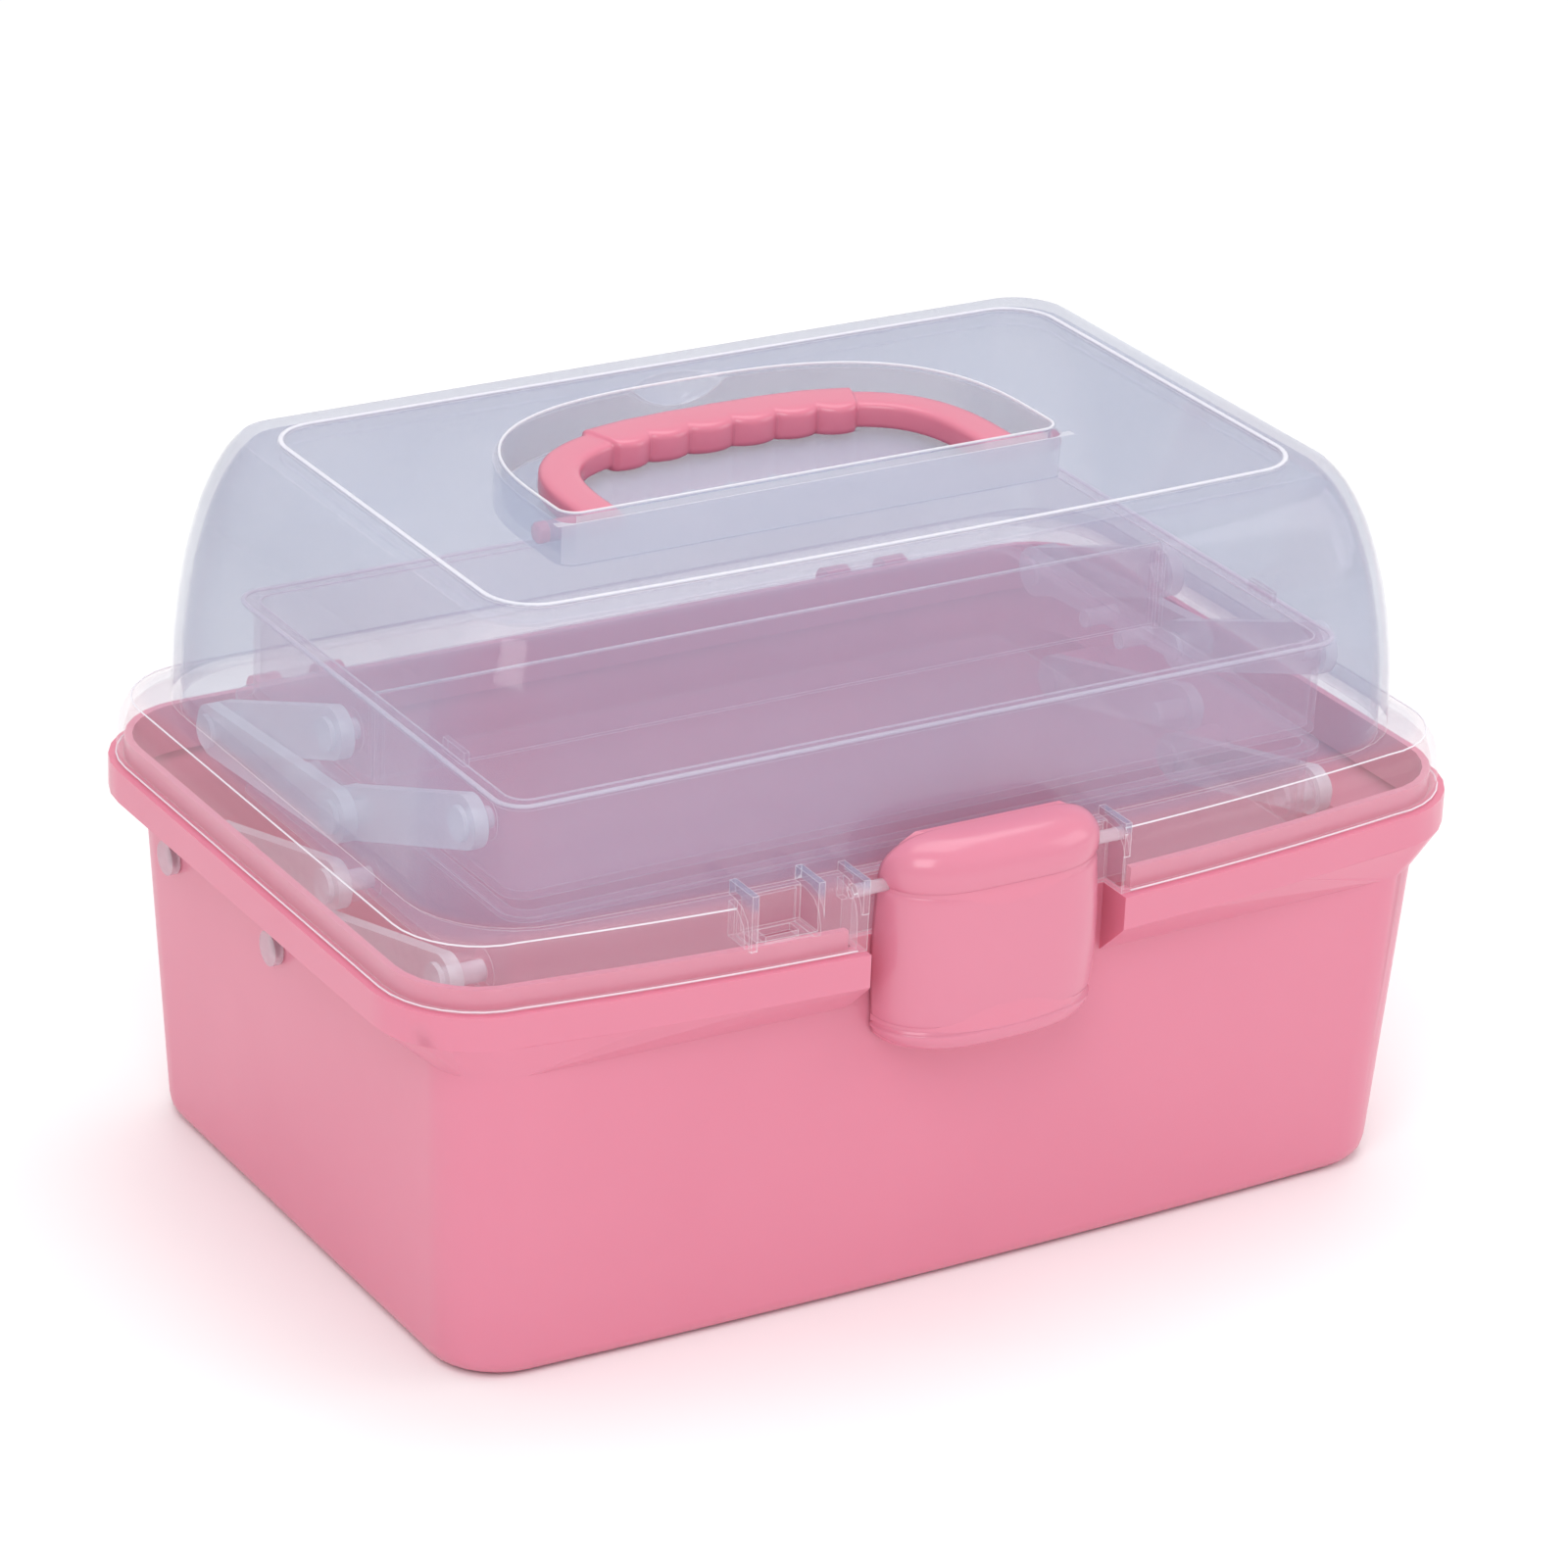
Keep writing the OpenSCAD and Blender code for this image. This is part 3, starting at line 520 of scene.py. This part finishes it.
def new_piece(name: str, shape: Mesh, body: Body,
              material: bpy.types.Material) -> bpy.types.Object:
    """Makes a mesh piece that rides on a body.

    Args:
        name: Name of the piece.
        shape: Points in mm and faces.
        body: Body that carries it.
        material: Its finish.

    Returns:
        The new piece.
    """
    mesh = bpy.data.meshes.new(name)
    mesh.from_pydata([tuple(v * MM for v in point) for point in shape[0]], [], shape[1])
    solid = bmesh.new()
    solid.from_mesh(mesh)
    bmesh.ops.recalc_face_normals(solid, faces=solid.faces)
    solid.to_mesh(mesh)
    solid.free()
    mesh.polygons.foreach_set("use_smooth", [True] * len(mesh.polygons))
    mesh.materials.append(material)
    piece = bpy.data.objects.new(name, mesh)
    bpy.context.scene.collection.objects.link(piece)
    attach(piece, body.value)
    LOG.info("built %s on %s", name, body.value)
    return piece


def middle_of(node: str) -> Vector:
    """The middle of a construction node's box, in mm."""
    low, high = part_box(node)
    return (Vector(low) + Vector(high)) / 2 / MM


@dataclass
class CarryingHandle:
    """Fold-down handle: one smooth bow with a thicker grip and finger waves; sizes in mm."""

    finish: bpy.types.Material
    half_l: float = 71.0
    pivot_y: float = -5.0
    reach: float = 57.0
    bend: float = 3.0
    middle_z: float = field(default_factory=lambda: middle_of("handle").z)
    leg_w: float = 11.8
    leg_half_h: float = 3.9
    leg_in: float = 1.5
    grip_w: float = 15.6
    grip_half_h: float = 4.8
    grip_left: float = -40.0
    grip_right: float = 46.0
    step_l: float = 0.35
    waves: int = 6
    wave_d: float = 2.6
    wave_crest: float = 0.7
    squareness: float = 4.6
    pin_r: float = 3.0
    pin_end: float = 83.0
    pin_seat: float = 4.0
    pin_bevel: float = 0.6
    pin_sides: int = 24
    fine_steps: int = 4000
    stations: int = 420
    sides: int = 40

    def bow(self) -> list[Vec]:
        """The handle's outer edge, from its right end to its left end.

        Returns:
            Points at even steps, in mm.
        """
        turns = (math.pi * i / self.fine_steps for i in range(self.fine_steps + 1))
        fine = [(self.half_l * power(math.cos(t), 2 / self.bend),
                 self.pivot_y + self.reach * power(math.sin(t), 2 / self.bend)) for t in turns]
        end = self.pivot_y - self.leg_half_h
        fine = [(self.half_l, end)] + fine + [(-self.half_l, end)]
        lengths = [0.0]
        for here, there in zip(fine, fine[1:]):
            lengths.append(lengths[-1] + math.dist(here, there))
        points, at = [], 0
        for i in range(self.stations):
            want = lengths[-1] * i / (self.stations - 1)
            while at < len(fine) - 2 and lengths[at + 1] < want:
                at += 1
            span = (want - lengths[at]) / (lengths[at + 1] - lengths[at])
            points.append((fine[at][0] + span * (fine[at + 1][0] - fine[at][0]),
                           fine[at][1] + span * (fine[at + 1][1] - fine[at][1]), self.middle_z))
        return points

    def section(self, point: Vec) -> list[Flat]:
        """The handle's section at one point of its outer edge.

        Args:
            point: A point of the outer edge.

        Returns:
            The section; x is outward from the edge, y is up.
        """
        x, y, _ = point
        inside = min(x - self.grip_left, self.grip_right - x)
        grip = 0.5 + 0.5 * math.tanh(inside / self.step_l)
        if y < self.pivot_y + self.reach / 2:
            grip = 0.0
        share = (x - self.grip_left) / (self.grip_right - self.grip_left)
        share = min(1.0, max(0.0, share))
        wave = self.wave_d * abs(math.sin(math.pi * self.waves * share)) ** self.wave_crest
        outer = -self.leg_in * (1 - grip)
        inner = -self.leg_in - self.leg_w - grip * (self.grip_w - self.leg_w + wave - self.wave_d)
        half_h = self.leg_half_h + grip * (self.grip_half_h - self.leg_half_h)
        past = max(0.0, self.pivot_y - y) / self.leg_half_h
        half_h *= math.sqrt(max(0.02, 1 - past ** 2))
        middle = (outer + inner) / 2
        ring = oval((outer - inner) / 2, half_h, self.squareness, self.sides)
        return [(middle + a, b) for a, b in ring]

    def build(self) -> None:
        """Builds the bow, which stands for the construction's handle, and its two pins."""
        path = self.bow()
        bow = new_piece("handle_bow", sweep(path, lambda i: self.section(path[i]), False),
                        Body.HANDLE, self.finish)
        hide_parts("handle")
        for name, side in (("left", -1), ("right", 1)):
            ends = (self.half_l - self.pin_seat, self.pin_end - self.pin_bevel, self.pin_end)
            line = [(side * x, self.pivot_y, self.middle_z) for x in ends]
            radii = (self.pin_r, self.pin_r, self.pin_r - self.pin_bevel)
            new_piece(f"handle_pin_{name}",
                      sweep(line, lambda i: oval(radii[i], radii[i], sides=self.pin_sides), False),
                      Body.HANDLE, self.finish)


@dataclass
class LatchFront:
    """Smooth barrel front of the latch, over its hollow construction; sizes in mm."""

    finish: bpy.types.Material
    back_y: float = -104.4
    half_w: float = 33.2
    bulge: float = 18.9
    low_z: float = 81.4
    foot_r: float = 9.0
    foot_in: float = 4.0
    band_z: float = 89.0
    crease_z: float = 128.0
    top_z: float = 141.9
    groove: float = 1.0
    barrel: float = 1.3
    swell_w: float = 0.7
    crown_in: float = 17.0
    crown_back: float = 0.28
    crown_shape: float = 2.3
    crown_swell: float = 0.9
    face_shape: float = 2.2
    side_shape: float = 3.2
    lip: float = 1.6
    lean: float = 3.2
    skin: float = 0.5
    steps: int = 56
    foot_steps: int = 8
    wall_steps: int = 18
    crown_steps: int = 14

    def levels(self) -> list[tuple[float, float, float]]:
        """The latch's half width and depth at each height.

        Returns:
            Rows of height, half width and depth, in mm, from the bottom up.
        """
        rows = []
        depth = self.bulge - self.barrel
        rise = self.band_z - self.lip - self.low_z
        for i in range(self.foot_steps + 1):
            turn = math.pi / 2 * i / self.foot_steps
            pull = 1 - math.sin(turn)
            rows.append((self.low_z + rise * (1 - math.cos(turn)),
                         self.half_w - self.foot_r * pull, depth - self.foot_in * pull))
        rows += self.crease(self.band_z, depth)
        span = self.crease_z - self.band_z - 2 * self.lip
        for i in range(1, self.wall_steps):
            share = i / self.wall_steps
            swell = math.sin(math.pi * share)
            rows.append((self.band_z + self.lip + span * share,
                         self.half_w + self.swell_w * swell, depth + self.barrel * swell))
        rows += self.crease(self.crease_z, depth)
        foot = self.crease_z + self.lip
        for i in range(1, self.crown_steps + 1):
            turn = math.pi / 2 * i / self.crown_steps
            swell = self.crown_swell * math.sin(2 * turn)
            side = power(math.cos(turn), 2 / self.crown_shape)
            rise = power(math.sin(turn), 2 / self.crown_shape)
            rows.append((foot + (self.top_z - foot) * rise,
                         self.half_w - self.crown_in * (1 - side) + swell,
                         depth * (self.crown_back + (1 - self.crown_back) * side) + swell))
        return rows

    def crease(self, z: float, depth: float) -> list[tuple[float, float, float]]:
        """A moulded groove around the latch.

        Args:
            z: Height of the groove.
            depth: Depth of the latch beside it.

        Returns:
            Rows of height, half width and depth, in mm.
        """
        cut = ((-1.0, 0.0), (-0.45, 0.3), (0.0, 1.0), (0.45, 0.3), (1.0, 0.0))
        return [(z + self.lip * dz, self.half_w - self.groove * k, depth - self.groove * k)
                for dz, k in cut]

    def build(self) -> None:
        """Builds the latch's front."""
        points: list[Vec] = []
        rows = self.levels()
        for z, half_w, depth in rows:
            turns = (math.pi * i / self.steps for i in range(self.steps + 1))
            lean = self.lean * max(0.0, z - self.crease_z) / (self.top_z - self.crease_z)
            back = self.back_y - lean
            points += [(half_w * power(math.cos(t), 2 / self.side_shape),
                        back - (depth - lean) * power(math.sin(t), 2 / self.face_shape), z)
                       for t in turns]
        wide = self.steps + 1
        faces: list[tuple[int, ...]] = [
            (i * wide + k, i * wide + k + 1, (i + 1) * wide + k + 1, (i + 1) * wide + k)
            for i in range(len(rows) - 1) for k in range(self.steps)]
        faces.append(tuple(range(wide)))
        faces.append(tuple(range(len(points) - 1, len(points) - wide - 1, -1)))
        piece = new_piece("latch_front", (points, faces), Body.LATCH, self.finish)
        shell = piece.modifiers.new("wall", "SOLIDIFY")
        shell.thickness = self.skin * MM
        shell.offset = -1.0


@dataclass
class MouldedLines:
    """Raised beads and rounded edges of the clear mouldings, which catch the light; mm."""

    # The beads and rounded edges are real shapes; the white of these lines is a painted highlight.
    lid_highlight_paint: bpy.types.Material
    tray_highlight_paint: bpy.types.Material
    bead: Flat = (1.5, 0.9)
    fine: Flat = (0.8, 0.8)
    hair: Flat = (0.5, 0.5)
    lip: Flat = (1.5, 1.1)
    notch_half_w: float = 41.0
    hasp_left: float = -76.0
    panel: tuple[float, ...] = (124.25, 66.75, 75.75, 1.8, 14.25)
    panel_drop: float = 0.3
    skirt: tuple[float, ...] = (165.1, 103.3, 105.8, 10.0, 27.8)
    skirt_z: float = 113.8
    shoulder: tuple[float, ...] = (161.0, 99.3, 101.8, 10.0, 24.4)
    shoulder_z: float = 130.5
    rim_steps: int = 96
    well_half_l: float = 78.0
    well_back: float = 63.0
    well_bend: float = 2.8
    well_corner: Vec = (73.0, -8.0, 5.0)
    well_grow: float = 0.4
    well_drop: float = 0.7
    well_steps: int = 64
    tray: tuple[float, ...] = (131.0, 81.0, 80.0, 0.0, 8.0)
    tray_z: float = 158.8
    tray_inside: tuple[float, ...] = (127.0, 77.0, 76.0, 0.0, 6.0)
    tray_inside_z: float = 158.6
    divider_half_l: float = 126.0
    divider_y: float = 3.0
    divider_z: float = 158.2

    def line(self, name: str, path: list[Flat], z: float, size: Flat, body: Body,
             closed: bool = True) -> None:
        """Lays one line around a moulding.

        Args:
            name: Name of the piece.
            path: Its middle line, seen from above.
            z: Its height.
            size: Its width and height.
            body: Body that carries it.
            closed: Whether it runs all the way round.
        """
        on_lid = body is Body.LID
        shape = sweep([(x, y, z) for x, y in path],
                      lambda _: oval(size[0] / 2, size[1] / 2), closed)
        new_piece(name, shape, body,
                  self.lid_highlight_paint if on_lid else self.tray_highlight_paint)

    def well_edge(self) -> list[Flat]:
        """The handle well's edge, seen from above.

        Returns:
            Its points, in mm.
        """
        turns = (math.pi * i / self.well_steps for i in range(self.well_steps + 1))
        half_l, depth = self.well_half_l + self.well_grow, self.well_back + self.well_grow
        back = [(half_l * power(math.cos(t), 2 / self.well_bend),
                 depth * power(math.sin(t), 2 / self.well_bend)) for t in turns]
        x, y, radius = self.well_corner
        radius += self.well_grow
        return back + arc((-x, y), radius, 180) + arc((x, y), radius, 270)

    def broken(self, path: list[Flat], left: float) -> list[Flat]:
        """Takes the stretch at the latch's notch out of a closed line.

        Args:
            path: The closed line.
            left: Where the gap at the front starts; it ends at the notch's right side.

        Returns:
            The open line, from the gap's right end round to its left end.
        """
        gap = [i for i, (x, y) in enumerate(path) if left < x < self.notch_half_w and y < 0]
        return path[gap[-1] + 1:] + path[:gap[0]]

    def build(self) -> None:
        """Lays every line."""
        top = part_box("lid_shell")[1][2] / MM
        skirt = self.broken(outline(*self.skirt, steps=self.rim_steps), -self.notch_half_w)
        shoulder = self.broken(outline(*self.shoulder, steps=self.rim_steps), self.hasp_left)
        divider = [(x, self.divider_y) for x in (-self.divider_half_l, 0.0, self.divider_half_l)]
        self.line("panel_bead", outline(*self.panel), top - self.panel_drop, self.bead, Body.LID)
        self.line("skirt_edge", skirt, self.skirt_z, self.hair, Body.LID, closed=False)
        self.line("shoulder_edge", shoulder, self.shoulder_z, self.hair, Body.LID, closed=False)
        self.line("well_rim", self.well_edge(), top - self.well_drop, self.fine, Body.LID)
        self.line("upper_tray_lip", outline(*self.tray), self.tray_z, self.lip, Body.UPPER_TRAY)
        self.line("upper_tray_inner_lip", outline(*self.tray_inside), self.tray_inside_z,
                  self.hair, Body.UPPER_TRAY)
        self.line("divider_edge", divider, self.divider_z, self.fine, Body.UPPER_TRAY,
                  closed=False)


@dataclass
class Studio:
    """Camera, floor and soft lights; the eye is in millimetres, the rest in metres."""

    eye: Vec = (-820.7, -1339.6, 810.8)
    azimuth: float = -31.53
    elevation: float = 24.1
    roll: float = 2.35
    focal_px: float = 6264.36
    frame_px: float = 1600.0
    sensor: float = 36.0
    near: float = 0.05
    far: float = 50.0
    floor_half: float = 6.0
    sky: float = 0.75
    aim: Vec = (0.0, 0.0, 0.1)
    clear_layers: int = 64

    def camera(self) -> None:
        """Places the camera at the photograph's viewing angle."""
        side, rise, turn = (math.radians(a) for a in (self.azimuth, self.elevation, self.roll))
        ahead = Vector((-math.sin(side) * math.cos(rise), math.cos(side) * math.cos(rise),
                        -math.sin(rise)))
        right = Vector((math.cos(side), math.sin(side), 0.0))
        up = right.cross(ahead)
        right_rolled = right * math.cos(turn) + up * math.sin(turn)
        up_rolled = up * math.cos(turn) - right * math.sin(turn)
        data = bpy.data.cameras.new("studio_camera")
        data.sensor_width = self.sensor
        data.lens = self.focal_px / self.frame_px * self.sensor
        data.clip_start, data.clip_end = self.near, self.far
        lens = bpy.data.objects.new("studio_camera", data)
        bpy.context.scene.collection.objects.link(lens)
        turned = Matrix((right_rolled, up_rolled, -ahead)).transposed()
        lens.matrix_world = Matrix.Translation(Vector(self.eye) * MM) @ turned.to_4x4()
        bpy.context.scene.camera = lens

    def floor(self) -> None:
        """Lays the pale floor."""
        half = self.floor_half
        mesh = bpy.data.meshes.new("floor")
        mesh.from_pydata([(-half, -half, 0), (half, -half, 0), (half, half, 0), (-half, half, 0)],
                         [], [(0, 1, 2, 3)])
        board = bpy.data.objects.new("floor", mesh)
        bpy.context.scene.collection.objects.link(board)
        mesh.materials.append(PaintedBoard().material())

    def light(self, name: str, place: Vec, size: float, watts: float) -> None:
        """Hangs one square soft box that faces the case.

        Args:
            name: Name of the light.
            place: Where it hangs, in metres.
            size: Side of the square, in metres.
            watts: Its power.
        """
        data = bpy.data.lights.new(name, "AREA")
        data.size, data.energy = size, watts
        lamp = bpy.data.objects.new(name, data)
        bpy.context.scene.collection.objects.link(lamp)
        lamp.location = place
        facing = Vector(self.aim) - Vector(place)
        lamp.rotation_euler = facing.to_track_quat("-Z", "Y").to_euler()

    def build(self) -> None:
        """Sets up the whole studio."""
        self.camera()
        self.floor()
        world = bpy.data.worlds.new("studio")
        world.use_nodes = True
        sky = world.node_tree.nodes["Background"]
        sky.inputs["Color"].default_value = linear("FFFFFF")
        sky.inputs["Strength"].default_value = self.sky
        bpy.context.scene.world = world
        bpy.context.scene.view_settings.view_transform = "Standard"
        bpy.context.scene.cycles.transparent_max_bounces = self.clear_layers
        self.light("key_soft_box", (-0.9, -1.1, 1.6), 1.1, 14.0)
        self.light("top_soft_box", (0.3, 0.4, 1.7), 1.2, 9.0)
        self.light("fill_soft_box", (1.5, -0.9, 0.8), 1.0, 5.0)


@dataclass
class CarriedOver:
    """The construction's own pieces that are shown as they are, each with its finish."""

    frosted: bpy.types.Material
    finishes: dict[str, bpy.types.Material]
    crease_deg: float = 32.0
    weld_mm: float = 0.01

    def even_shade(self) -> bpy.types.NodeTree:
        """Makes the step that drops the stored shading and shades every face smoothly.

        Returns:
            The node group, for a modifier, so that no mesh is changed.
        """
        group = bpy.data.node_groups.new("even_shade", "GeometryNodeTree")
        for way in ("INPUT", "OUTPUT"):
            group.interface.new_socket("Geometry", in_out=way, socket_type="NodeSocketGeometry")
        start = add_node(group, "NodeGroupInput")
        drop = add_node(group, "GeometryNodeRemoveAttribute", None,
                        {"Geometry": start.outputs[0], "Name": "custom_normal"})
        shade = add_node(group, "GeometryNodeSetShadeSmooth", None,
                         {"Geometry": drop.outputs[0], "Shade Smooth": True})
        add_node(group, "NodeGroupOutput", None, {"Geometry": shade.outputs[0]})
        return group

    def smooth(self, piece: bpy.types.Object, shade: bpy.types.NodeTree) -> None:
        """Lets curved walls shade smoothly between their real edges, by modifiers alone.

        Args:
            piece: One of the construction's pieces.
            shade: The step that shades every face smoothly.
        """
        piece.modifiers.new("shade", "NODES").node_group = shade
        weld = piece.modifiers.new("weld", "WELD")
        weld.merge_threshold = self.weld_mm * MM
        split = piece.modifiers.new("edges", "EDGE_SPLIT")
        split.split_angle = math.radians(self.crease_deg)
        piece.modifiers.new("even", "WEIGHTED_NORMAL").keep_sharp = True

    def build(self) -> None:
        """Dresses every node of the construction."""
        shade = self.even_shade()
        for name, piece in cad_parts.items():
            self.smooth(piece, shade)
            material = self.finishes.get(name, self.frosted)
            piece.data.materials.clear()
            piece.data.materials.append(material)
            LOG.info("dressed %s with %s", name, material.name)


def main() -> None:
    """Builds the studio and dresses the case, piece by piece."""
    logging.basicConfig(level=logging.INFO)
    Studio().build()
    pink = MouldedPolypropylene("pink_polypropylene_moulded", "DC839A", "D87F96").material()
    glossy = MouldedPolypropylene("pink_polypropylene_polished", "DE859B", "DA8097",
                                  roughness=0.20).material()
    # Painted shade: a slightly darker copy of the polished pink for the handle, whose top lies
    # darker with the light from the front.
    grip = MouldedPolypropylene("pink_polypropylene_polished_shaded", "D97E95", "D4798F",
                                roughness=0.20).material()
    clear = ClarifiedPolypropylene("clear_polypropylene_lid", "9BA5C2", 0.20, 0.54,
                                   clear_below_mm=131.0, clear_share=0.45,
                                   milky=((-82.0, -15.6, 193.0), (82.0, -12.6, 206.0))).material()
    # The tray's pink tint is painted light: pink light bounced off the tub onto the clear tray.
    tray = ClarifiedPolypropylene("clear_polypropylene_tray", "DBA9C0", 0.08, 0.34,
                                  roughness=0.2).material()
    # Painted highlight: the white of the lines laid on the lid's and tray's beads and edges.
    bead = NaturalPolypropylene("lid_lines_painted_highlight", "F6F4FA", 0.6).material()
    tray_lines_highlight = NaturalPolypropylene("tray_lines_painted_highlight", "EFE3EC", 0.6).material()
    frosted = NaturalPolypropylene("natural_polypropylene_moulded", "F1EEF5", 0.5).material()
    pins = NaturalPolypropylene("natural_polypropylene_pins", "D9C4CF", 0.5).material()
    dress = {"case_body": pink, "handle": glossy, "latch": glossy, "latch_pin": pins,
             "lid_shell": clear, "lower_tray": tray, "upper_tray": tray, "tray_divider": tray,
             "case_pins_left": pins, "case_pins_right": pins}
    CarriedOver(frosted, dress).build()
    CarryingHandle(grip).build()
    LatchFront(glossy).build()
    MouldedLines(bead, tray_lines_highlight).build()


if __name__ == "__main__":
    main()
